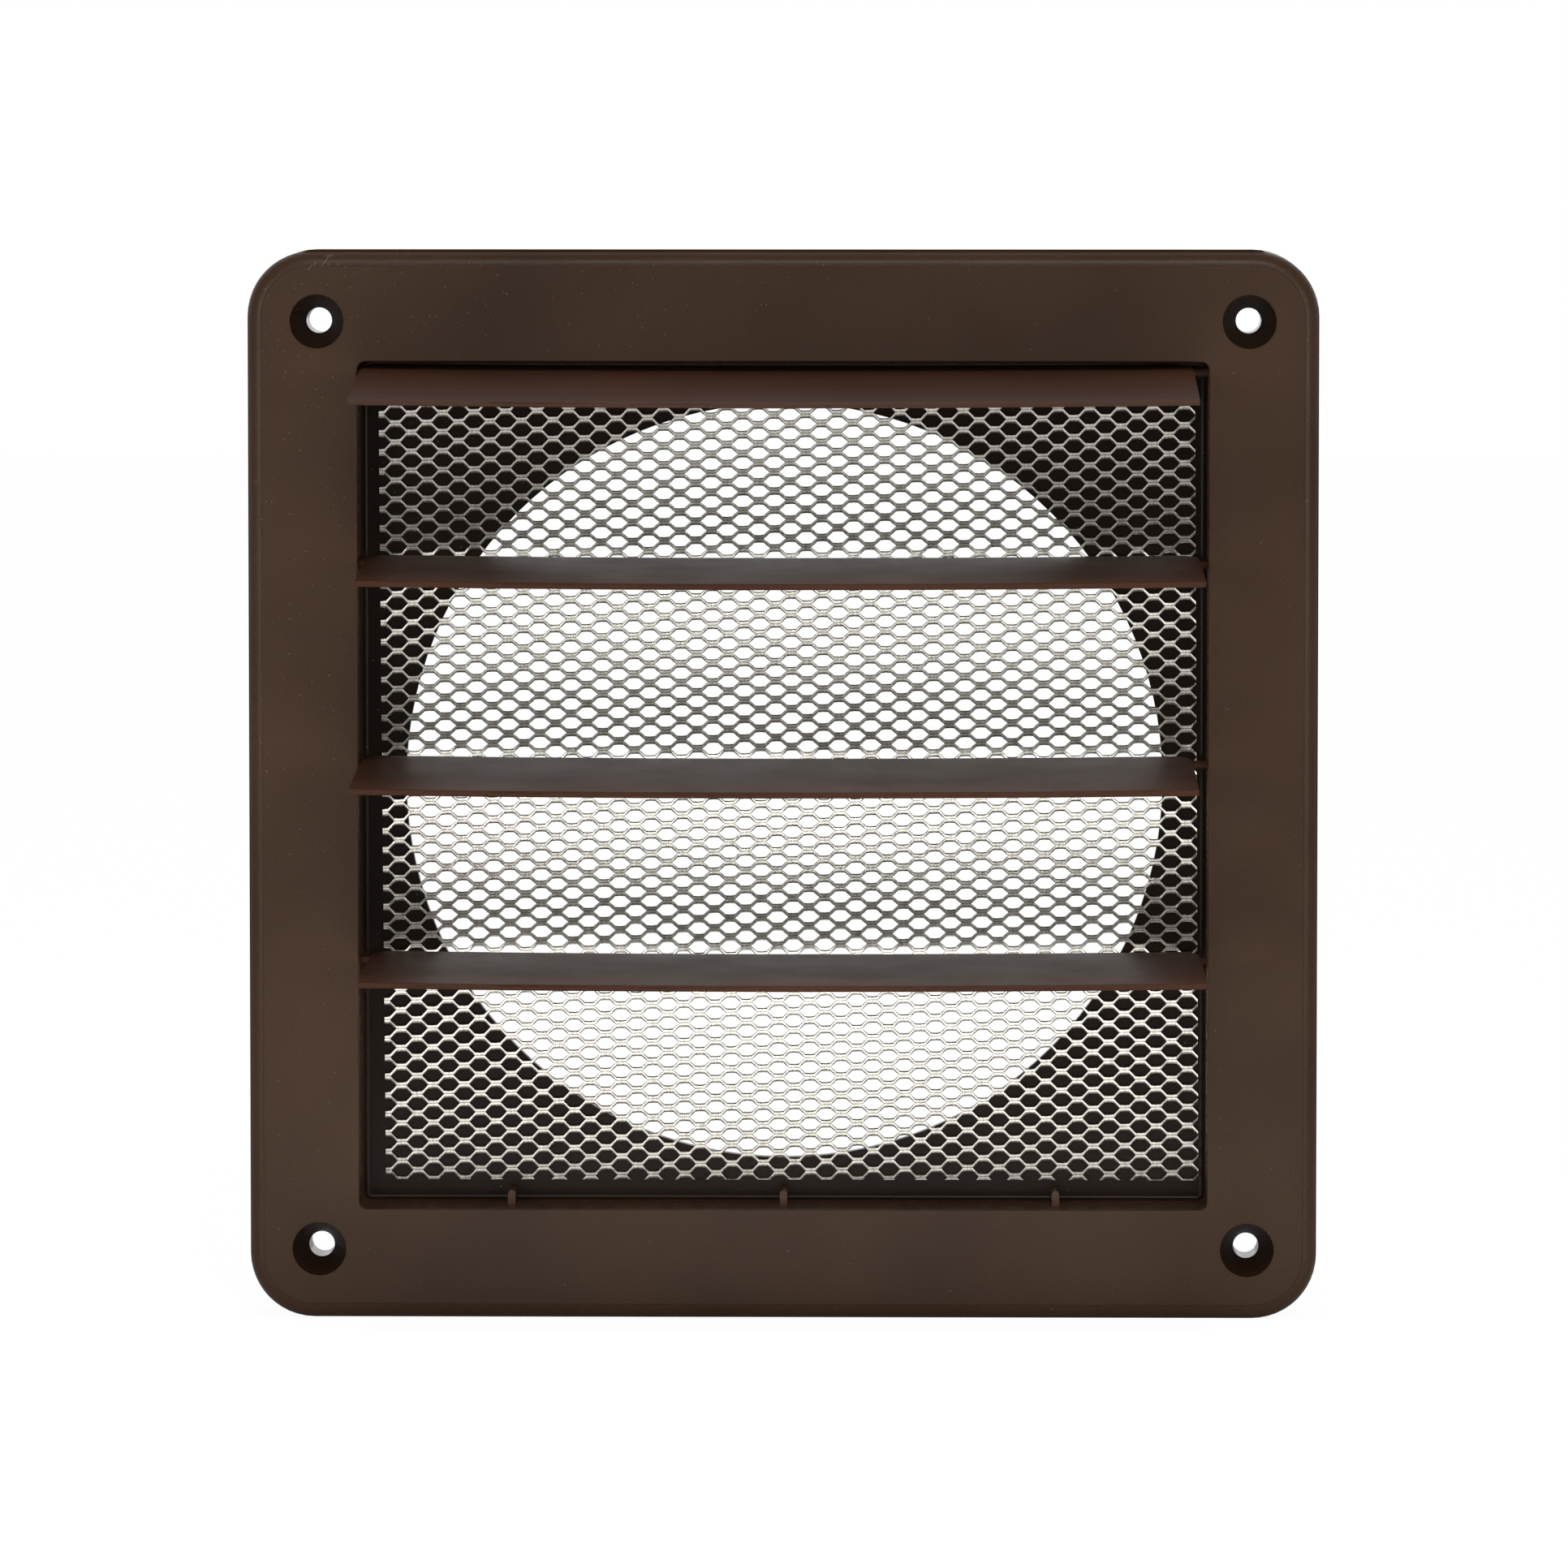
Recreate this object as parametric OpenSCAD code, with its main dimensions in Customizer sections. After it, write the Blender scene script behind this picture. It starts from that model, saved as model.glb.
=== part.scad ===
// Louvered soffit vent. A square moulded body carries an expanded metal screen on the
// floor of its recess and four louvers, each on two pins that are moulded with it.
// X runs to the right, Z up, and the face looks along -Y. The origin is the centre of the
// screw pattern on the wall plane, and the louvers stand open. Sizes are in millimetres.

/* [Flange] */
// Side of the square flange
flange_w = 209.55; // [208:0.05:216]
// Radius of the flange's four corners
corner_r = 12.7; // [9:0.1:16]
// Height of the face above the wall plane
body_h = 19.05; // [18.5:0.05:22]
// Radius of the rounded outer edge
edge_r = 2.8; // [1.5:0.1:4]
// Height by which the flat face stands above the rounded edge
face_step = 0.12; // [0.05:0.01:0.3]
// Thickness of the outer wall
skirt_t = 2.5; // [2:0.1:3.5]
// Thickness of the face
face_t = 2.4; // [2:0.1:3.2]

/* [Recess] */
// Side of the square recess
recess_w = 166.4; // [165.8:0.1:167]
// Radius of the recess's corners
recess_r = 1.5; // [1.3:0.1:3]
// Radius of the fillet round the recess floor
floor_r = 1.2; // [0.5:0.1:1.2]
// Radius of the rounded lip
lip_r = 0.4; // [0.2:0.05:0.8]
// Thickness of the recess walls
box_t = 2.3; // [2:0.1:2.6]
// Thickness of the back plate
plate_t = 2.5; // [2:0.1:3]
// Diameter of the round duct hole in the back plate
duct_d = 149.3; // [120:0.1:150]

/* [Screw holes] */
// Distance between the screw holes, across and up
screw_pitch = 182.2; // [182:0.1:184]
// Diameter of the countersunk well at the face
well_d = 10.6; // [9:0.1:11]
// Depth of the countersunk well
well_h = 9; // [6:0.5:11]
// Diameter of the screw hole
screw_d = 5; // [4:0.1:5.5]
// Diameter of the boss round each screw hole
boss_d = 13.6; // [13:0.1:14]

/* [Ribs] */
// Thickness of the ribs behind the face
rib_t = 1.6; // [1.2:0.1:2.4]
// Height of those ribs
rib_h = 6; // [3:0.5:10]
// Distance between the ribs behind the face
rib_pitch = 40; // [38:1:42]
// Distance between the stop ribs on the bottom wall of the recess
stop_pitch = 53.6; // [40:0.1:70]
// Width of a stop rib
stop_w = 1.5; // [1:0.1:2.5]
// Height of a stop rib
stop_h = 2.9; // [2.5:0.1:3.1]
// Distance from the face back to the stop ribs
stop_back = 7.8; // [7.7:0.1:9]

/* [Louvers] */
// Width of a louver at its free edge
louver_w = 163.8; // [160:0.1:163.8]
// Amount by which each side of a louver draws in towards the pins
louver_taper = 0.6; // [0.5:0.1:1]
// Distance from the pins to the free edge
louver_reach = 47; // [42:0.1:47.2]
// Distance that a louver runs on behind its pins
louver_tail = 1.2; // [1:0.1:1.3]
// Thickness of a louver
louver_t = 1; // [0.8:0.1:1.2]
// Radius of the crowned louver face
crown_r = 500; // [300:10:900]
// Height of the louver's face above the pins
crown_h = 1.65; // [1.5:0.05:1.75]
// Length before the pins over which the sides start to curve in
nose_l = 8.8; // [7:0.1:10]
// Radius of the curved sides at the pins
nose_r = 26; // [22:1:34]
// Radius of the two corners at the back of a louver
tail_r = 3; // [2:0.1:4]
// Amount by which the middle of a louver sags below its ends
louver_sag = 0.6; // [0.3:0.1:0.8]
// Distance between the pins of two louvers
louver_pitch = 38.6; // [38.5:0.05:38.7]
// Height of the top louver's pins above the origin
top_pin_z = 80.9; // [80.5:0.05:81]
// Distance from the face back to the pins
pin_back = 10.3; // [10:0.1:10.6]
// Diameter of the pins
pin_d = 1.8; // [1.6:0.05:2.2]
// Running clearance round a pin, on the radius
pin_gap = 0.08; // [0.03:0.01:0.1]
// Distance from the middle of a louver to the end of its pins
pin_reach = 85.6; // [85.2:0.1:86]

/* [Screen] */
// Side of the square screen
screen_w = 160.7; // [158:0.1:161]
// Thickness of the screen
screen_t = 0.9; // [0.6:0.1:1.2]
// Number of whole openings across
screen_cols = 6; // [4:1:6]
// Number of steps between the rows of openings
screen_rows = 17; // [11:2:17]
// Part of a cell's width that its opening takes
open_w = 0.65; // [0.5:0.01:0.7]
// Part of two rows' height that an opening takes
open_h = 0.53; // [0.4:0.01:0.6]

/* [Hidden] */
$fn = 64;
plastic = [0.27, 0.2, 0.165];
metal = [0.86, 0.86, 0.84];
eps = 0.5;
core_fn = 360;

// Each louver lies a little to one side in its loose pins and droops by its own angle, and
// the second one sits a little high.
louver_shift = [-1.2, 0.05, -1.2, 0.5];
louver_droop = [6.6, 3.25, 4, 2.5];
louver_rise = [0, 0.95, 0, 0];
louver_count = len(louver_shift);
function pin_z(i) = top_pin_z - i * louver_pitch + louver_rise[i];

cavity_h = body_h - face_t;
box_w = recess_w + 2 * box_t;
pin_h = body_h - pin_back;
boss_x = screw_pitch / 2;
bead_r = 0.5;
bead_rise = 0.15;
toe_r = 0.25;
hub_r = 1.2;
hub_l = 6;
hub_inset = 1.2;

// The screen lies a little off the middle of the recess and a little askew.
screen_x = 1;
screen_z = 0.85;
screen_turn = 0.4;
cell_w = screen_w / screen_cols;
row_h = screen_w / screen_rows;

// The louver's face is an arc over the whole reach, so it stands highest at crown_mid.
crown_mid = (louver_reach - louver_tail) / 2;
crown_rise = crown_r - sqrt(crown_r * crown_r - crown_mid * crown_mid);
crown_z = crown_h + crown_rise - crown_r;
toe_z = crown_z + sqrt(crown_r * crown_r - pow(louver_reach - bead_r - crown_mid, 2));

// From side to side it follows an arc with its middle lowest.
bow_r = (pow(louver_w / 2, 2) + pow(louver_sag, 2)) / (2 * louver_sag);
bow_turn = 2 * asin((louver_w / 2 + eps) / bow_r);
bow_fn = 7200;
section_h = 8;

// Behind nose_l the sides follow nose_r, and the tail corners are tangent to that curve.
nose_steps = 6;
tail_steps = 6;
nose_x = louver_w / 2 - louver_taper - nose_r;
tail_y = louver_tail - tail_r;
nose_turn = asin((nose_l + tail_y) / (nose_r - tail_r));
tail_x = nose_x + (nose_r - tail_r) * cos(nose_turn);
nose_end = nose_x + sqrt(nose_r * nose_r - nose_l * nose_l);
side_curve = concat(
    [
        for (k = [0 : nose_steps])
            let (a = nose_turn * k / nose_steps)
                [nose_x + nose_r * cos(a), nose_r * sin(a) - nose_l]
    ],
    [
        for (k = [1 : tail_steps])
            let (a = nose_turn + (90 - nose_turn) * k / tail_steps)
                [tail_x + tail_r * cos(a), tail_y + tail_r * sin(a)]
    ]
);

// Everything is drawn lying on its back, with the face up, and stood on the wall here.
module on_wall() {
    rotate([90, 0, 0])
        children();
}

module rounded_square(w, r) {
    square([w, w - 2 * r], center = true);
    square([w - 2 * r, w], center = true);
    for (x = [-1, 1], y = [-1, 1])
        translate([x * (w / 2 - r), y * (w / 2 - r)])
            circle(r);
}

// Sweeps a half section round a square with corners of radius r. The section is drawn out
// from the corner's axis, and the middle is filled from low to high.
module swept_square(w, r, low, high) {
    core = w - 2 * r;
    translate([0, 0, low])
        linear_extrude(high - low)
            square(core, center = true);
    for (turn = [0 : 90 : 270])
        rotate(turn) {
            translate([core / 2, core / 2, 0])
                rotate_extrude(angle = 90)
                    children();
            translate([core / 2, 0, 0])
                rotate([90, 0, 0])
                    linear_extrude(core, center = true)
                        children();
        }
}

module edge_section() {
    top = body_h - face_step;
    square([corner_r, top - edge_r]);
    square([corner_r - edge_r, top]);
    translate([corner_r - edge_r, top - edge_r])
        circle(edge_r);
}

// The section of the space that the recess takes, with the floor fillet and the lip's flare.
module recess_section() {
    translate([0, plate_t])
        square([recess_r - floor_r, floor_r]);
    translate([0, plate_t + floor_r])
        square([recess_r, body_h]);
    intersection() {
        translate([recess_r - floor_r, plate_t + floor_r])
            circle(floor_r);
        translate([0, plate_t])
            square([recess_r, 2 * floor_r]);
    }
    difference() {
        translate([0, body_h - lip_r])
            square([recess_r + lip_r, lip_r + eps]);
        translate([recess_r + lip_r, body_h - lip_r])
            circle(lip_r);
    }
}

module flange() {
    swept_square(flange_w, corner_r, 0, body_h - face_step)
        edge_section();
    linear_extrude(body_h)
        rounded_square(flange_w - 2 * edge_r, corner_r - edge_r);
}

module back_cavity() {
    translate([0, 0, -eps])
        linear_extrude(cavity_h + eps)
            rounded_square(flange_w - 2 * skirt_t, corner_r - skirt_t);
}

module at_screws() {
    for (x = [-boss_x, boss_x], y = [-boss_x, boss_x])
        translate([x, y, 0])
            children();
}

module screw_well() {
    rotate_extrude()
        polygon([
            [0, -eps],
            [screw_d / 2, -eps],
            [screw_d / 2, body_h - well_h],
            [well_d / 2, body_h],
            [well_d / 2, body_h + eps],
            [0, body_h + eps]
        ]);
}

// Ribs from the recess box out to the skirt, four on each side and one to each corner.
module back_ribs() {
    reach = (flange_w - skirt_t) / 2;
    low = cavity_h - rib_h;
    for (turn = [0 : 90 : 270], step = [-1.5 : 1 : 1.5])
        rotate(turn)
            translate([recess_w / 2 + eps, step * rib_pitch - rib_t / 2, low])
                cube([reach - recess_w / 2 - eps, rib_t, rib_h + eps]);
    for (turn = [45 : 90 : 315])
        rotate(turn)
            translate([recess_w / sqrt(2) + eps, -rib_t / 2, low])
                cube([boss_x * sqrt(2) - recess_w / sqrt(2), rib_t, rib_h + eps]);
}

module stop_rib(x) {
    wall_y = -recess_w / 2;
    translate([x, wall_y, plate_t - eps])
        linear_extrude(body_h - stop_back - plate_t + eps) {
            translate([-stop_w / 2, -eps])
                square([stop_w, stop_h + eps - stop_w / 2]);
            translate([0, stop_h - stop_w / 2])
                circle(stop_w / 2);
        }
}

module pivot_holes() {
    for (i = [0 : louver_count - 1])
        translate([0, pin_z(i), pin_h])
            rotate([0, 90, 0])
                cylinder(h = box_w + 2 * eps, d = pin_d + 2 * pin_gap, center = true);
}

module body() {
    color(plastic)
        on_wall() {
            difference() {
                union() {
                    difference() {
                        flange();
                        back_cavity();
                    }
                    linear_extrude(body_h - face_t / 2)
                        square(box_w, center = true);
                    at_screws()
                        cylinder(h = body_h - face_t / 2, d = boss_d);
                    back_ribs();
                }
                swept_square(recess_w, recess_r, plate_t, body_h + eps)
                    recess_section();
                translate([0, 0, -eps])
                    cylinder(h = plate_t + 2 * eps, d = duct_d, $fn = 128);
                at_screws()
                    screw_well();
                pivot_holes();
            }
            for (x = [-stop_pitch, 0, stop_pitch])
                stop_rib(x);
        }
}

// One opening of the expanded metal: a flat hexagon that points to both sides.
module opening() {
    half_w = cell_w * open_w / 2;
    half_h = row_h * open_h;
    polygon([
        [-half_w, 0],
        [-half_w / 2, -half_h],
        [half_w / 2, -half_h],
        [half_w, 0],
        [half_w / 2, half_h],
        [-half_w / 2, half_h]
    ]);
}

module screen() {
    color(metal)
        on_wall()
            translate([screen_x, screen_z, plate_t])
                rotate(screen_turn)
                    linear_extrude(screen_t)
                        difference() {
                            square(screen_w, center = true);
                            for (row = [0 : screen_rows], col = [0 : screen_cols - row % 2])
                                translate([
                                    (col - (screen_cols - row % 2) / 2) * cell_w,
                                    row * row_h - screen_w / 2
                                ])
                                    opening();
                        }
}

// A louver's outline seen from above its face, with the pins on the X axis and the free
// edge down.
module louver_plan() {
    front = -louver_reach - eps;
    polygon(concat(
        [[louver_w / 2, front]],
        side_curve,
        [for (k = [len(side_curve) - 1 : -1 : 0]) [-side_curve[k].x, side_curve[k].y]],
        [[-louver_w / 2, front]]
    ));
}

// A louver's section: the crowned plate, with a bead over the rounded toe of its free edge.
module louver_section() {
    low = -louver_reach;
    intersection() {
        translate([-crown_mid, crown_z])
            difference() {
                circle(crown_r, $fn = core_fn);
                circle(crown_r - louver_t, $fn = core_fn);
            }
        translate([low + toe_r, -section_h / 2])
            square([louver_reach + louver_tail - toe_r, section_h]);
    }
    translate([low + bead_r, toe_z + bead_rise - bead_r])
        circle(bead_r);
    translate([low + toe_r, toe_z - louver_t + toe_r])
        circle(toe_r);
    translate([low, toe_z - louver_t + toe_r])
        square([bead_r, louver_t + bead_rise - toe_r - bead_r]);
}

// A louver lying level, with its pins on the X axis and its free edge towards -Y.
module louver_shape() {
    intersection() {
        linear_extrude(section_h, center = true)
            louver_plan();
        translate([0, 0, bow_r - louver_sag])
            rotate([90, 0, 0])
                rotate(-90 - bow_turn / 2)
                    rotate_extrude(angle = bow_turn, $fn = bow_fn)
                        translate([bow_r, 0])
                            mirror([1, 0])
                                rotate(-90)
                                    louver_section();
    }
    for (side = [0, 1])
        mirror([side, 0, 0])
            rotate([0, 90, 0]) {
                translate([0, 0, nose_end - hub_l])
                    cylinder(h = hub_l - hub_inset, r = hub_r);
                translate([0, 0, nose_end - hub_l])
                    cylinder(h = pin_reach - nose_end + hub_l, d = pin_d);
            }
}

module louver(i) {
    color(plastic)
        translate([louver_shift[i], -pin_h, pin_z(i)])
            rotate([louver_droop[i], 0, 0])
                louver_shape();
}

body();
screen();
louver(0);  // louver_1
louver(1);  // louver_2
louver(2);  // louver_3
louver(3);  // louver_4
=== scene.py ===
import math
import bpy
import bmesh
from mathutils import Matrix, Vector


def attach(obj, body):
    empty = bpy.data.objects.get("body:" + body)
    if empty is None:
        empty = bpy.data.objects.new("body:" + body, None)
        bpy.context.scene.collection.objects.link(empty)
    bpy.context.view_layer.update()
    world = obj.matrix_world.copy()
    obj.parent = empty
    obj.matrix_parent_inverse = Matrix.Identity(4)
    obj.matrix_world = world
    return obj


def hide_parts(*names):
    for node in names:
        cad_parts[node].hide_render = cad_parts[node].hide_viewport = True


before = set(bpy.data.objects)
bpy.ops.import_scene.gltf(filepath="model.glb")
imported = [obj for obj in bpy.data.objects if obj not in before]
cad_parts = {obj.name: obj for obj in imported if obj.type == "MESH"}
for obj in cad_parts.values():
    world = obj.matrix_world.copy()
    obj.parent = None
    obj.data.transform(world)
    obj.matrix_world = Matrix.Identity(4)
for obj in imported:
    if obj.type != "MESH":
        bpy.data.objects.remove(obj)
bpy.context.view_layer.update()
mm = 0.001


# node helpers

def addNode(tree, kind, inputs=None, **settings):
    made = tree.nodes.new("ShaderNode" + kind)
    for name, value in settings.items():
        setattr(made, name, value)
    for key, value in (inputs or {}).items():
        if isinstance(value, bpy.types.NodeSocket):
            tree.links.new(value, made.inputs[key])
        else:
            made.inputs[key].default_value = value
    return made


def calc(tree, operation, *values, clamp=False):
    made = addNode(tree, "Math", dict(enumerate(values)), operation=operation)
    made.use_clamp = clamp
    return made.outputs[0]


def ramp(tree, value, low, high, to=(0.0, 1.0)):
    made = addNode(tree, "MapRange", {"Value": value, "From Min": low, "From Max": high,
                                      "To Min": to[0], "To Max": to[1]})
    return made.outputs["Result"]


def blendColour(tree, factor, first, second, mode="MIX"):
    made = addNode(tree, "Mix", data_type="RGBA", blend_type=mode)
    for slot, value in (("Factor_Float", factor), ("A_Color", first), ("B_Color", second)):
        socket = next(s for s in made.inputs if s.identifier == slot)
        if isinstance(value, bpy.types.NodeSocket):
            tree.links.new(value, socket)
        else:
            socket.default_value = value
    return next(s for s in made.outputs if s.identifier == "Result_Color")


def noise(tree, where, scale, detail=2.0, rough=0.5, stretch=(1, 1, 1)):
    if stretch != (1, 1, 1):
        where = addNode(tree, "Mapping", {"Vector": where, "Scale": stretch}).outputs[0]
    made = addNode(tree, "TexNoise", {"Vector": where, "Scale": scale, "Detail": detail,
                                      "Roughness": rough})
    return made.outputs["Fac"]


def specks(tree, where, cell, share, size):
    # small grains of unlike sizes, one at most in each cell
    cells = addNode(tree, "TexVoronoi", {"Vector": where, "Scale": 1 / cell, "Randomness": 1.0},
                    voronoi_dimensions="3D", feature="F1")
    lot = addNode(tree, "SeparateColor", {0: cells.outputs["Color"]})
    own = ramp(tree, lot.outputs[1], 0, 1, (0.4 * size / cell, size / cell))
    near = calc(tree, "LESS_THAN", cells.outputs["Distance"], own)
    picked = calc(tree, "LESS_THAN", lot.outputs[0], share)
    return calc(tree, "MULTIPLY", calc(tree, "MULTIPLY", near, picked),
                ramp(tree, lot.outputs[2], 0, 1, (0.35, 1.0)))


def within(tree, value, half, soft):
    # 1 where a coordinate is nearer to zero than half, 0 beyond
    return ramp(tree, calc(tree, "ABSOLUTE", value), half, half - soft)


# moulded plastic

skin = {
    # scales of the noise in the tone, the gloss, the grain and the bump
    "cloud": 22,
    "gloss": 60,
    "grain": 3200,
    "bump": 2600,
    "bumpDepth": 0.05 * mm,
    "softEdge": 0.25 * mm,
    "ior": 1.49,
}
bodyFinish = {
    "light": (0.0520, 0.0268, 0.0142, 1),
    "deep": (0.0390, 0.0194, 0.0098, 1),
    "rough": (0.30, 0.38),
    "grain": (0.80, 1.20),
    "shine": 0.16,
    "grainBump": 0.12,
}
louverFinish = {
    "light": (0.0540, 0.0222, 0.0122, 1),
    "deep": (0.0420, 0.0170, 0.0090, 1),
    "rough": (0.42, 0.50),
    "grain": (0.88, 1.12),
    "shine": 0.072,
    "grainBump": 0.10,
}
# painted light: the rear of the top louver is drawn paler
topLouverPaintedLight = {                      # tone set to the photo, where little light gets
    "height": (52 * mm, 58 * mm),  # where it sets in
    "depth": (-50 * mm, -14 * mm),
    "tone": 1.6,
    "sheen": 1.5,
}
dust = {
    "colour": (0.30, 0.27, 0.23, 1),
    "strength": 0.6,
    "cell": 1.1 * mm,              # one grain at most in a cell this wide
    "grain": 0.12 * mm,            # largest radius of a grain
    # share of the cells with a grain, on the face by height less place across
    "face": (60 * mm, 200 * mm, (0.05, 0.75)),
    # on the louvers by place across, times one by height
    "across": (-20 * mm, -80 * mm, (0.18, 0.6)),
    "height": (30 * mm, 60 * mm, (0.4, 1.0)),
}
well = {
    "pitch": 182.2 * mm,
    "radius": 5.30 * mm,
    "edge": 0.1 * mm,
    "rough": 0.16,
    # painted shade: the wells are drawn darker
    "tone": 0.52,
}
recess = {
    "half": 83.7 * mm,
    "edge": 0.5 * mm,
    "front": (-18.8 * mm, -17.8 * mm),
    "back": (-1.2 * mm, -1.6 * mm),      # inside the plate
    "plate": (-3.5 * mm, -3.0 * mm),     # from here on back
    "rough": 0.24,
    # painted light and shade: the recess is drawn lighter, the back plate behind the mesh darker
    # tones set to the photo under this light, not a second plastic
    "tone": 1.7,
    "plateShade": 0.17,
    "plateSheen": 0.6,
}
outerSides = (104.2 * mm, 104.6 * mm)    # distance from the middle where they start
scratches = {
    "width": 0.07 * mm,
    "strength": 0.5,
    "bend": 40,                    # sag in metres over a reach of one metre
    "face": -15 * mm,              # they lie in front of this
    # middle across and up, angle in degrees, half the length
    "lines": [(-89.3, 102.9, 54, 1.8), (-92.3, 101.7, 56, 1.0), (-88.6, 103.9, 5, 1.0),
              (-91.4, 102.3, 66, 0.6)],
}


def tint(tree, colour, factor):
    grey = addNode(tree, "CombineColor", {0: factor, 1: factor, 2: factor}).outputs[0]
    return blendColour(tree, 1.0, colour, grey, "MULTIPLY")


def plasticMaterial(name, finish, share, marksAndPaintedLight):
    mat = bpy.data.materials.new(name)
    mat.use_nodes = True
    tree = mat.node_tree
    shader = tree.nodes["Principled BSDF"]
    where = addNode(tree, "TexCoord").outputs["Object"]
    parts = addNode(tree, "SeparateXYZ", {0: where}).outputs
    cloud = noise(tree, where, skin["cloud"], 3)
    grain = noise(tree, where, skin["grain"], 2, 0.6)
    colour = blendColour(tree, ramp(tree, cloud, 0.35, 0.65), finish["deep"], finish["light"])
    colour = tint(tree, colour, ramp(tree, grain, 0.3, 0.7, finish["grain"]))
    rough = ramp(tree, noise(tree, where, skin["gloss"], 4, 0.6), 0.3, 0.7, finish["rough"])
    colour, rough, sheen = marksAndPaintedLight(tree, parts, colour, rough)
    grains = specks(tree, where, dust["cell"], share(tree, parts), dust["grain"])
    colour = blendColour(tree, calc(tree, "MULTIPLY", grains, dust["strength"]), colour,
                         dust["colour"])
    tree.links.new(colour, shader.inputs["Base Color"])
    tree.links.new(rough, shader.inputs["Roughness"])
    tree.links.new(calc(tree, "MULTIPLY", sheen, finish["shine"]),
                   shader.inputs["Specular IOR Level"])
    soft = addNode(tree, "Bevel", {"Radius": skin["softEdge"]}, samples=4)
    bump = addNode(tree, "Bump", {"Height": noise(tree, where, skin["bump"], 2, 0.6),
                                  "Strength": finish["grainBump"], "Distance": skin["bumpDepth"],
                                  "Normal": soft.outputs[0]})
    tree.links.new(bump.outputs[0], shader.inputs["Normal"])
    shader.inputs["IOR"].default_value = skin["ior"]
    return mat


def shade(tree, colour, mask, tone):
    return tint(tree, colour, ramp(tree, mask, 0, 1, (1.0, tone)))


def between(tree, mask, first, second):
    return calc(tree, "ADD", calc(tree, "MULTIPLY", mask, second),
                calc(tree, "MULTIPLY", calc(tree, "SUBTRACT", 1.0, mask), first))


def bodyMarksAndPaintedLight(tree, parts, colour, rough):
    # the four polished screw wells, drawn darker as painted shade
    apart = [calc(tree, "SUBTRACT", calc(tree, "ABSOLUTE", parts[i]), well["pitch"] / 2)
             for i in (0, 2)]
    reach = calc(tree, "SQRT", calc(tree, "ADD", calc(tree, "MULTIPLY", apart[0], apart[0]),
                                    calc(tree, "MULTIPLY", apart[1], apart[1])))
    inWell = ramp(tree, reach, well["radius"], well["radius"] - well["edge"])
    # the smooth inside of the recess, whose walls are also drawn lighter as painted light
    inRecess = calc(tree, "MULTIPLY", within(tree, parts[0], recess["half"], recess["edge"]),
                    within(tree, parts[2], recess["half"], recess["edge"]))
    for end in ("front", "back"):
        inRecess = calc(tree, "MULTIPLY", inRecess, ramp(tree, parts[1], *recess[end]))
    # the sides have no shine
    onSide = calc(tree, "MAXIMUM", *[ramp(tree, calc(tree, "ABSOLUTE", parts[i]), *outerSides)
                                     for i in (0, 2)])
    sheen = calc(tree, "SUBTRACT", 1.0, onSide)
    # painted shade: the back plate behind the mesh is drawn darker
    onPlate = calc(tree, "MULTIPLY", inRecess, ramp(tree, parts[1], *recess["plate"]))
    colour = shade(tree, colour, onPlate, recess["plateShade"])
    # the wells drawn darker as painted shade and the recess lighter as painted light, both smoother
    for mask, made in ((inWell, well), (inRecess, recess)):
        colour = shade(tree, colour, mask, made["tone"])
        rough = between(tree, mask, rough, made["rough"])
    sheen = calc(tree, "MULTIPLY", sheen, between(tree, onPlate, 1.0, recess["plateSheen"]))
    # fine scratches on the upper left corner
    cut = None
    for x, z, turn, half in scratches["lines"]:
        aside, up = math.cos(math.radians(turn)), math.sin(math.radians(turn))
        dx = calc(tree, "SUBTRACT", parts[0], x * mm)
        dz = calc(tree, "SUBTRACT", parts[2], z * mm)
        along = calc(tree, "ADD", calc(tree, "MULTIPLY", dx, aside), calc(tree, "MULTIPLY", dz, up))
        bend = calc(tree, "MULTIPLY", calc(tree, "MULTIPLY", along, along), scratches["bend"])
        off = calc(tree, "SUBTRACT", calc(tree, "MULTIPLY", dz, aside),
                   calc(tree, "MULTIPLY", dx, up))
        line = calc(tree, "MULTIPLY", within(tree, along, half * mm, half * mm * 0.5),
                    within(tree, calc(tree, "SUBTRACT", off, bend), scratches["width"],
                           scratches["width"] * 0.7))
        cut = line if cut is None else calc(tree, "MAXIMUM", cut, line)
    cut = calc(tree, "MULTIPLY", cut, calc(tree, "LESS_THAN", parts[1], scratches["face"]))
    colour = blendColour(tree, calc(tree, "MULTIPLY", cut, scratches["strength"]), colour,
                         dust["colour"])
    return colour, rough, sheen


def louverPaintedLight(tree, parts, colour, rough):
    # painted light: the top louver is drawn paler towards its rear, to make up for the light there
    top = ramp(tree, parts[2], *topLouverPaintedLight["height"])
    rear = ramp(tree, parts[1], *topLouverPaintedLight["depth"])
    colour = shade(tree, colour, calc(tree, "MULTIPLY", top, rear), topLouverPaintedLight["tone"])
    return colour, rough, calc(tree, "ADD", 1.0, calc(tree, "MULTIPLY", top, topLouverPaintedLight["sheen"]))


def dustOnFace(tree, parts):
    # most of it lies round the upper left corner
    return ramp(tree, calc(tree, "SUBTRACT", parts[2], parts[0]), *dust["face"])


def dustOnLouver(tree, parts):
    return calc(tree, "MULTIPLY", ramp(tree, parts[0], *dust["across"]),
                ramp(tree, parts[2], *dust["height"]))


bodyPlastic = plasticMaterial("bodyPlastic", bodyFinish, dustOnFace, bodyMarksAndPaintedLight)
louverPlastic = plasticMaterial("louverPlastic", louverFinish, dustOnLouver, louverPaintedLight)
for nodeName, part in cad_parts.items():
    for holder in part.material_slots:
        holder.material = bodyPlastic if nodeName == "body" else louverPlastic
print("plastic finished")


# expanded metal

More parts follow.
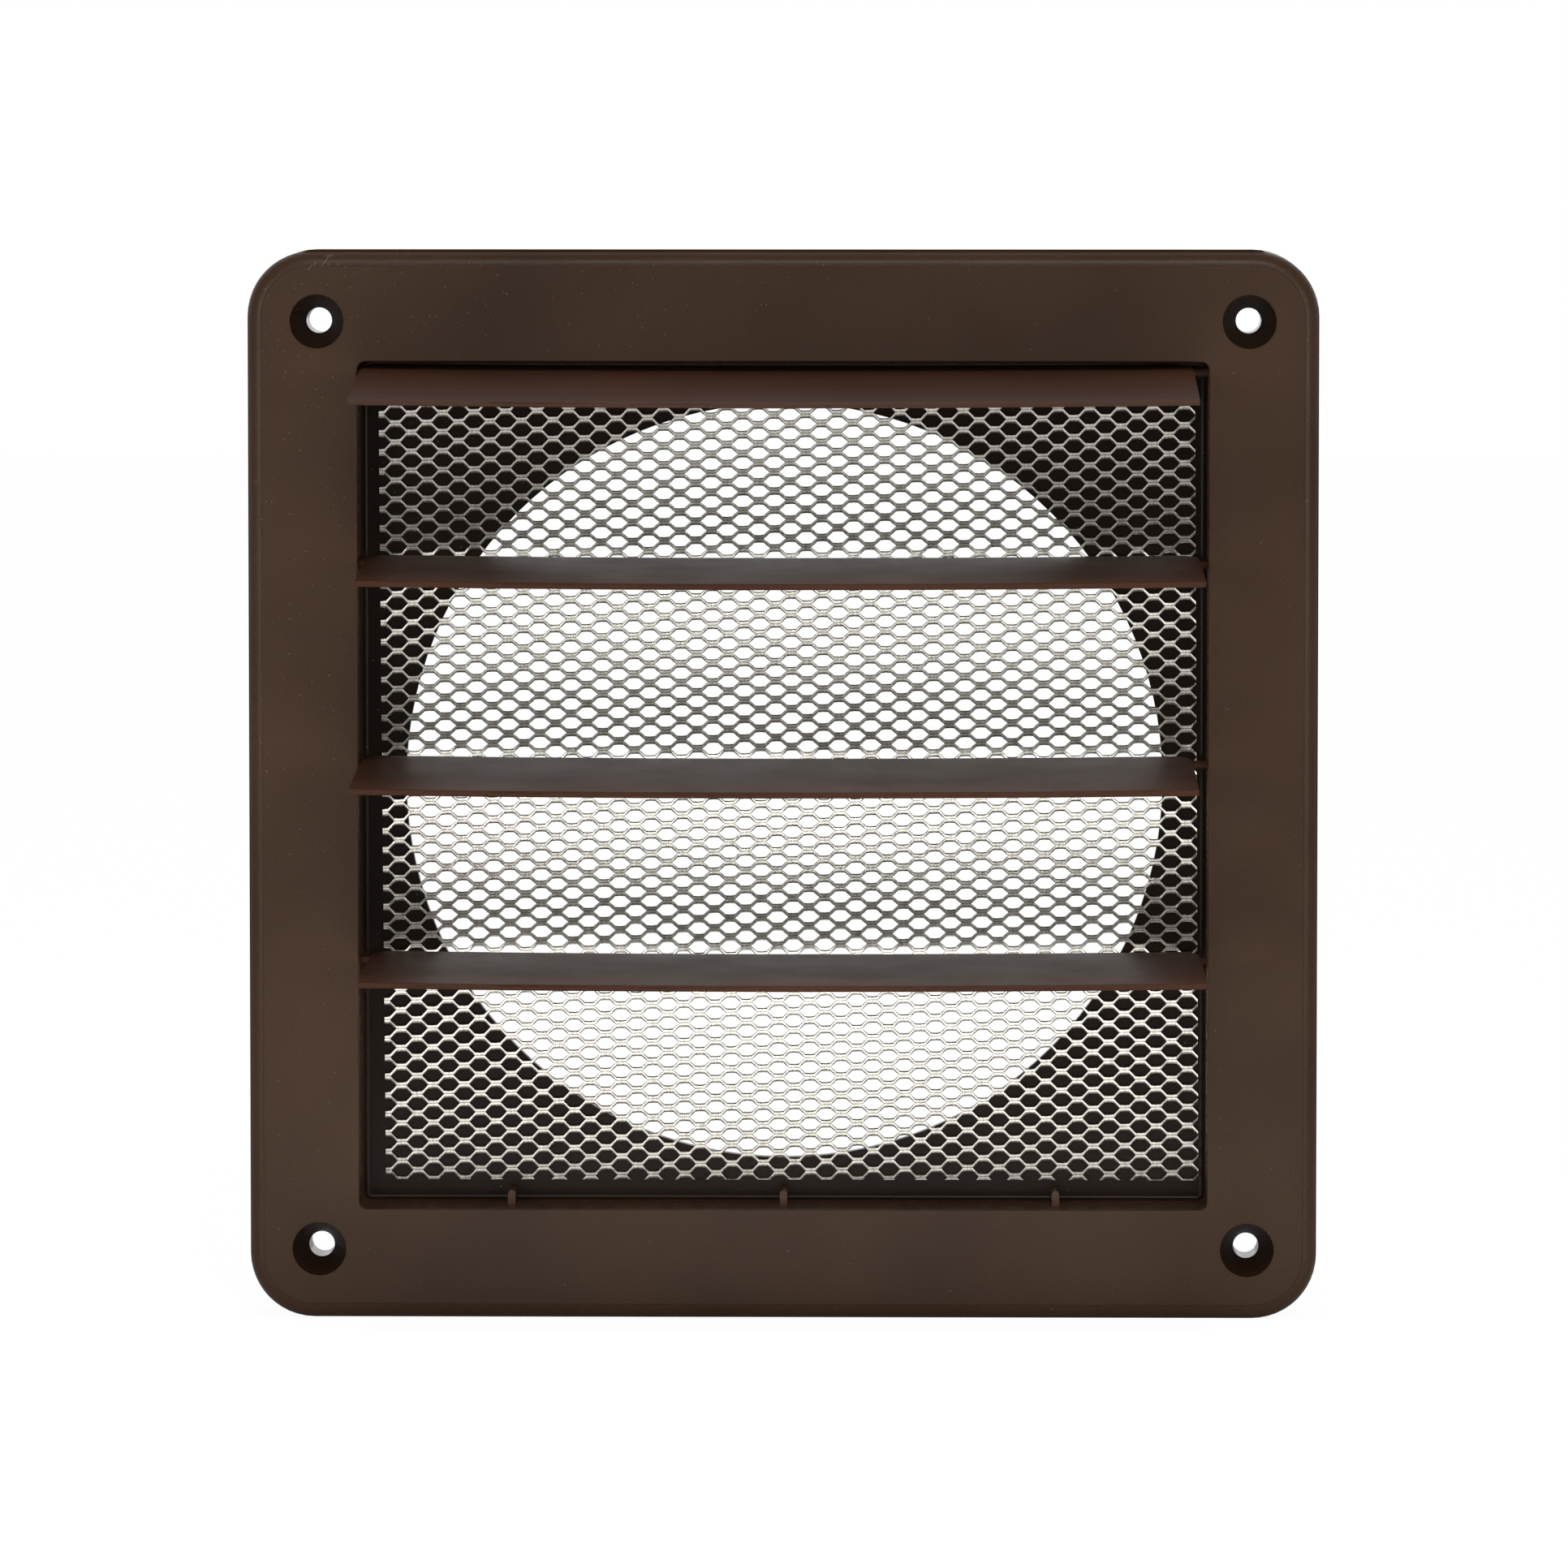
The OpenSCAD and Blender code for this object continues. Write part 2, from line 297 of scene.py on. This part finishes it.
mesh = {
    "side": 160.7 * mm,
    "short": 0.28 * mm,           # by which the lower edge is cut short
    "longWay": 6.215 * mm,        # pitch of the openings across
    "shortWay": 3.743 * mm,       # pitch of the openings down
    "flatHalf": 0.95 * mm,        # half the length of a bond
    "strand": 0.80 * mm,          # height of a strand at a bond
    "front": -3.38 * mm,
    "back": -2.52 * mm,
    "centre": (1.0 * mm, 1.07 * mm),
    "turn": math.radians(-0.4),
    "skew": 0.0156,               # how much the rows of openings climb to the right
    "start": (0.59 * mm, 1.07 * mm),   # where the pattern starts
    "arch": 0.07 * mm,            # rise of a bond's middle
    # ring of six points round a strand, from its top at the back: mm behind the front or None
    # at the back, mm above its top or low edge
    "sections": {
        "high": [(None, "top", 0), (0.03, "top", 0), (0.03, "top", 0),
                 (0.09, "low", 0.26), (0.24, "low", 0), (None, "low", 0.10)],
        "middle": [(None, "top", 0.03), (0.20, "top", 0.03), (0, "top", -0.10),
                   (0.08, "low", 0.22), (0.24, "low", -0.04), (None, "low", 0.04)],
        "low": [(None, "top", 0), (0.20, "top", 0), (0, "top", -0.16),
                (0.09, "low", 0), (0.09, "low", 0), (None, "low", 0)],
    },
}


def meshSection(kind):
    level = {"top": mesh["strand"] / 2, "low": -mesh["strand"] / 2}
    return [(mesh["back"] if behind is None else mesh["front"] + behind * mm,
             level[end] + above * mm) for behind, end, above in mesh["sections"][kind]]


def meshStrand():
    # one period of one strand, open at both ends and where it is one with its neighbours
    rise = mesh["shortWay"] / 4 - mesh["strand"] / 2
    flat, half = mesh["flatHalf"], mesh["longWay"] / 2
    arch = mesh["arch"]
    run = [(0, rise, "high", arch), (flat, rise, "high", 0), (half / 2, 0, "middle", 0),
           (half - flat, -rise, "low", 0), (half, -rise, "low", -arch)]
    run += [(2 * half - x, z, kind, lift) for x, z, kind, lift in reversed(run[:-1])]
    bm = bmesh.new()
    layer = bm.loops.layers.uv.new("round")
    ring = None
    for x, z, kind, lift in run:
        points = [Vector((x, y, z + h + (lift if kind == "high" and i in (3, 4, 5) else 0)
                          + (lift if kind == "low" and i in (0, 1, 2) else 0)))
                  for i, (y, h) in enumerate(meshSection(kind))]
        if ring is None:
            ring = [bm.verts.new(p) for p in points]
            edges = [bm.edges.new((ring[i], ring[(i + 1) % 6])) for i in range(6)]
            lastX = x / mesh["longWay"]
            continue
        made = bmesh.ops.extrude_edge_only(bm, edges=edges)["geom"]
        edges = [g for g in made if isinstance(g, bmesh.types.BMEdge) and
                 all(v not in ring for v in g.verts) and len(g.link_faces) == 1]
        follow = {}
        for v in ring:
            for e in v.link_edges:
                other = e.other_vert(v)
                if other not in ring and other.co == v.co:
                    follow[v] = other
        last, ring = ring, [follow[v] for v in ring]
        for v, p in zip(ring, points):
            v.co = p
        edges = [bm.edges.get((ring[i], ring[(i + 1) % 6])) for i in range(6)]
        for i, edge in enumerate(edges):
            for loop in edge.link_faces[0].loops:
                loop[layer].uv = (x / mesh["longWay"] if loop.vert in ring else lastX,
                                  (i if loop.vert in (ring[i], last[i]) else i + 1) / 6)
        lastX = x / mesh["longWay"]
    reach = mesh["shortWay"] / 4
    inside = [f for f in bm.faces if all(abs(abs(v.co.z) - reach) < 1e-7 for v in f.verts)]
    bmesh.ops.delete(bm, geom=inside, context="FACES")
    return bm


def expandedMetal():
    bm = meshStrand()
    across = math.ceil(mesh["side"] / mesh["longWay"]) + 3
    down = math.ceil(mesh["side"] / mesh["shortWay"] * 2) + 4
    unit = bm.verts[:] + bm.edges[:] + bm.faces[:]
    for i in range(1, across):
        made = bmesh.ops.duplicate(bm, geom=unit)["geom"]
        bmesh.ops.translate(bm, vec=(i * mesh["longWay"], 0, 0),
                            verts=[g for g in made if isinstance(g, bmesh.types.BMVert)])
    bmesh.ops.remove_doubles(bm, verts=bm.verts[:], dist=1e-6)
    row = bm.verts[:] + bm.edges[:] + bm.faces[:]
    for j in range(1, down):
        made = bmesh.ops.duplicate(bm, geom=row)["geom"]
        bmesh.ops.translate(bm, vec=((j % 2) * mesh["longWay"] / 2, 0, j * mesh["shortWay"] / 2),
                            verts=[g for g in made if isinstance(g, bmesh.types.BMVert)])
    bmesh.ops.translate(bm, verts=bm.verts[:],
                        vec=(-across * mesh["longWay"] / 2, 0, -down * mesh["shortWay"] / 4))
    bmesh.ops.remove_doubles(bm, verts=bm.verts[:], dist=2e-6)
    half = mesh["side"] / 2
    climb = Matrix.Identity(4)
    climb[2][0] = mesh["skew"]
    turn = Matrix.Rotation(mesh["turn"], 4, "Y")
    lay = turn @ climb @ Matrix.Translation((mesh["start"][0], 0, mesh["start"][1]))
    bmesh.ops.transform(bm, matrix=lay, verts=bm.verts[:])
    side = turn @ Vector((1, 0, 0))
    for axis, reach in ((side, half), (-side, half), (Vector((0, 0, 1)), half),
                        (Vector((0, 0, -1)), half - mesh["short"])):
        cut = bmesh.ops.bisect_plane(bm, geom=bm.verts[:] + bm.edges[:] + bm.faces[:],
                                     plane_co=axis * reach, plane_no=axis, clear_outer=True)
        rim = [g for g in cut["geom_cut"] if isinstance(g, bmesh.types.BMEdge)]
        bmesh.ops.holes_fill(bm, edges=rim, sides=0)
    bmesh.ops.recalc_face_normals(bm, faces=bm.faces[:])
    bmesh.ops.translate(bm, verts=bm.verts[:], vec=(mesh["centre"][0], 0, mesh["centre"][1]))
    data = bpy.data.meshes.new("expanded_metal")
    bm.to_mesh(data)
    bm.free()
    obj = bpy.data.objects.new("expanded_metal", data)
    bpy.context.scene.collection.objects.link(obj)
    return obj


metal = {
    "bright": (0.92, 0.89, 0.81, 1),
    "dull": (0.40, 0.37, 0.31, 1),
    "cut": (0.10, 0.09, 0.075, 1),  # the sheared sides, matt and drawn darker as painted shade
    "rough": (0.24, 0.34),
    "metallic": 0.86,
    # how bright the skin is round a strand, by the six sides of its section: the dark sheared sides
    # and the grey line between the front facets are partly their matt finish, partly painted shade
    "round": [(0, 0.0), (1.0, 0.0), (1.92, 0.05), (2.08, 1.0), (2.62, 1.0), (2.78, 0.35),
              (2.95, 0.4), (3.12, 1.0), (3.80, 1.0), (3.95, 0.1), (5.0, 0.1), (5.2, 0.7)],
    "bondHalf": 0.85 * mm,
    "bondEdge": 0.08 * mm,
    "notch": (0.25 * mm, 0.35),    # width and strength of the dark beside a bond
    "streaks": (0.25, 0.75),       # how strong they are off and on the bonds
    "streakScale": 1400,
    "streakStretch": (3.2, 1, 0.28),
    "patchScale": 300,
    "patchTone": (0.8, 1.0),
    "bump": 0.25,
    "bumpDepth": 0.03 * mm,
}


def metalMaterial():
    mat = bpy.data.materials.new("brightAluminium")
    mat.use_nodes = True
    tree = mat.node_tree
    shader = tree.nodes["Principled BSDF"]
    where = addNode(tree, "TexCoord").outputs["Object"]
    place = addNode(tree, "SeparateXYZ", {0: addNode(tree, "UVMap", uv_map="round").outputs[0]})
    streak = ramp(tree, noise(tree, where, metal["streakScale"], 3, 0.6, metal["streakStretch"]),
                  0.32, 0.68)
    patch = noise(tree, where, metal["patchScale"], 2)
    off = calc(tree, "MULTIPLY", calc(tree, "PINGPONG", place.outputs[0], 0.25), mesh["longWay"])
    bond = ramp(tree, off, metal["bondHalf"], metal["bondHalf"] - metal["bondEdge"])
    notchWidth, notchShare = metal["notch"]
    notch = calc(tree, "MULTIPLY", calc(tree, "SUBTRACT", 1.0, bond),
                 ramp(tree, off, metal["bondHalf"] + notchWidth, metal["bondHalf"]))
    lines = ramp(tree, bond, 0, 1, metal["streaks"])
    worn = calc(tree, "SUBTRACT", 1.0, calc(tree, "MULTIPLY", lines,
                                            calc(tree, "SUBTRACT", 1.0, streak)))
    worn = calc(tree, "SUBTRACT", worn, calc(tree, "MULTIPLY", notch, notchShare))
    worn = calc(tree, "MULTIPLY", worn, ramp(tree, patch, 0.3, 0.7, metal["patchTone"]),
                clamp=True)
    # painted shade: dark sheared sides and a grey line between facets, over their matt finish
    side = addNode(tree, "ValToRGB", {0: place.outputs[1]})
    stops = side.color_ramp.elements
    while len(stops) < len(metal["round"]):
        stops.new(0.5)
    for stop, (at, tone) in zip(stops, metal["round"]):
        stop.position = at / 6
        stop.color = (tone, tone, tone, 1)
    colour = blendColour(tree, worn, metal["dull"], metal["bright"])
    tree.links.new(blendColour(tree, side.outputs[0], metal["cut"], colour),
                   shader.inputs["Base Color"])
    tree.links.new(ramp(tree, patch, 0.3, 0.7, metal["rough"]), shader.inputs["Roughness"])
    shader.inputs["Metallic"].default_value = metal["metallic"]
    bump = addNode(tree, "Bump", {"Height": streak, "Strength": metal["bump"],
                                  "Distance": metal["bumpDepth"]})
    tree.links.new(bump.outputs[0], shader.inputs["Normal"])
    return mat


screenPiece = expandedMetal()
screenPiece.data.materials.append(metalMaterial())
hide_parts("screen")
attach(screenPiece, "root")
screenPiece.data.calc_loop_triangles()
print("expanded metal:", len(screenPiece.data.loop_triangles), "triangles")


# floor, light and camera

studio = {
    "floorLevel": -104.9 * mm,
    "floorHalf": 4.0,
    "floorWhite": (0.86, 0.86, 0.86, 1),
    "floorGlow": 1.04,             # what the camera sees of it, so that it meets the white behind
    "floorShare": 0.92,
    "skyFront": 0.36,              # radiance round the camera and behind the object
    "skyBack": 0.75,
    "skyTurn": (-0.15, 0.25),      # from front to back along Y
    "whiteBehind": (0.0, 0.3),     # along Y, what mirrors see
    "lampReach": 2.0,
    "lampSize": 0.75,
    "lampSpread": 36,              # degrees
    "lamps": {"left": (-24, 0, 0.48), "right": (26, 0, 0.49), "top": (4, 33, 0.62)},
    "bounce": {"at": (0, -0.27, 0.5), "aim": (0, -0.24, -0.1), "size": 0.22, "spread": 34,
               "power": 0.65},     # on the floor in front
    "cameraAt": (35 * mm, -2119.05 * mm, 154 * mm),
    "aim": (0.24 * mm, -19.05 * mm, 0.62 * mm),
    "lens": 246.9,
}


def addFloor():
    bm = bmesh.new()
    bmesh.ops.create_grid(bm, x_segments=1, y_segments=1, size=studio["floorHalf"],
                          matrix=Matrix.Translation((0, 0, studio["floorLevel"])))
    data = bpy.data.meshes.new("floor")
    bm.to_mesh(data)
    bm.free()
    floor = bpy.data.objects.new("floor", data)
    bpy.context.scene.collection.objects.link(floor)
    mat = bpy.data.materials.new("paleFloor")
    mat.use_nodes = True
    tree = mat.node_tree
    tree.nodes.remove(tree.nodes["Principled BSDF"])
    matt = addNode(tree, "BsdfDiffuse", {"Color": studio["floorWhite"]}).outputs[0]
    glow = addNode(tree, "Emission", {"Strength": studio["floorGlow"]}).outputs[0]
    ray = addNode(tree, "LightPath")
    seen = calc(tree, "MULTIPLY", ray.outputs["Is Camera Ray"], studio["floorShare"])
    mixed = addNode(tree, "MixShader", {0: seen, 1: matt, 2: glow})
    tree.links.new(mixed.outputs[0], tree.nodes["Material Output"].inputs["Surface"])
    data.materials.append(mat)


def addWorld():
    world = bpy.data.worlds.new("studio")
    bpy.context.scene.world = world
    world.use_nodes = True
    tree = world.node_tree
    back = tree.nodes["Background"]
    ray = addNode(tree, "LightPath")
    parts = addNode(tree, "SeparateXYZ", {0: addNode(tree, "TexCoord").outputs["Generated"]})
    depth = ramp(tree, parts.outputs["Y"], *studio["skyTurn"],
                 (studio["skyFront"], studio["skyBack"]))
    seen = calc(tree, "MAXIMUM", ray.outputs["Is Camera Ray"], ray.outputs["Is Transmission Ray"])
    behind = ramp(tree, parts.outputs["Y"], *studio["whiteBehind"])
    seen = calc(tree, "MAXIMUM", seen, calc(tree, "MULTIPLY", ray.outputs["Is Glossy Ray"], behind))
    tree.links.new(calc(tree, "MAXIMUM", depth, seen), back.inputs["Strength"])
    back.inputs["Color"].default_value = (1, 1, 1, 1)


def addLamp(name, at, aim, size, spread, power):
    data = bpy.data.lights.new(name, "AREA")
    data.size = size
    data.spread = math.radians(spread)
    data.energy = power
    lamp = bpy.data.objects.new(name, data)
    lamp.location = at
    lamp.rotation_euler = (Vector(aim) - Vector(at)).to_track_quat("-Z", "Y").to_euler()
    bpy.context.scene.collection.objects.link(lamp)


def lampPlace(turn, rise):
    aside, up = math.radians(turn), math.radians(rise)
    way = Vector((math.sin(aside) * math.cos(up), -math.cos(aside) * math.cos(up), math.sin(up)))
    return way * studio["lampReach"]


def addCamera():
    data = bpy.data.cameras.new("camera")
    data.lens = studio["lens"]
    data.sensor_width = 36
    data.clip_end = 100
    cam = bpy.data.objects.new("camera", data)
    cam.location = studio["cameraAt"]
    aim = Vector(studio["aim"]) - cam.location
    cam.rotation_euler = aim.to_track_quat("-Z", "Y").to_euler()
    bpy.context.scene.collection.objects.link(cam)
    bpy.context.scene.camera = cam


addFloor()
addWorld()
for lampName, (turn, rise, power) in studio["lamps"].items():
    addLamp(lampName, lampPlace(turn, rise), (0, 0, 0), studio["lampSize"], studio["lampSpread"],
            power)
addLamp("bounce", *studio["bounce"].values())
addCamera()
bpy.context.scene.view_settings.view_transform = "Standard"
print("stage set")
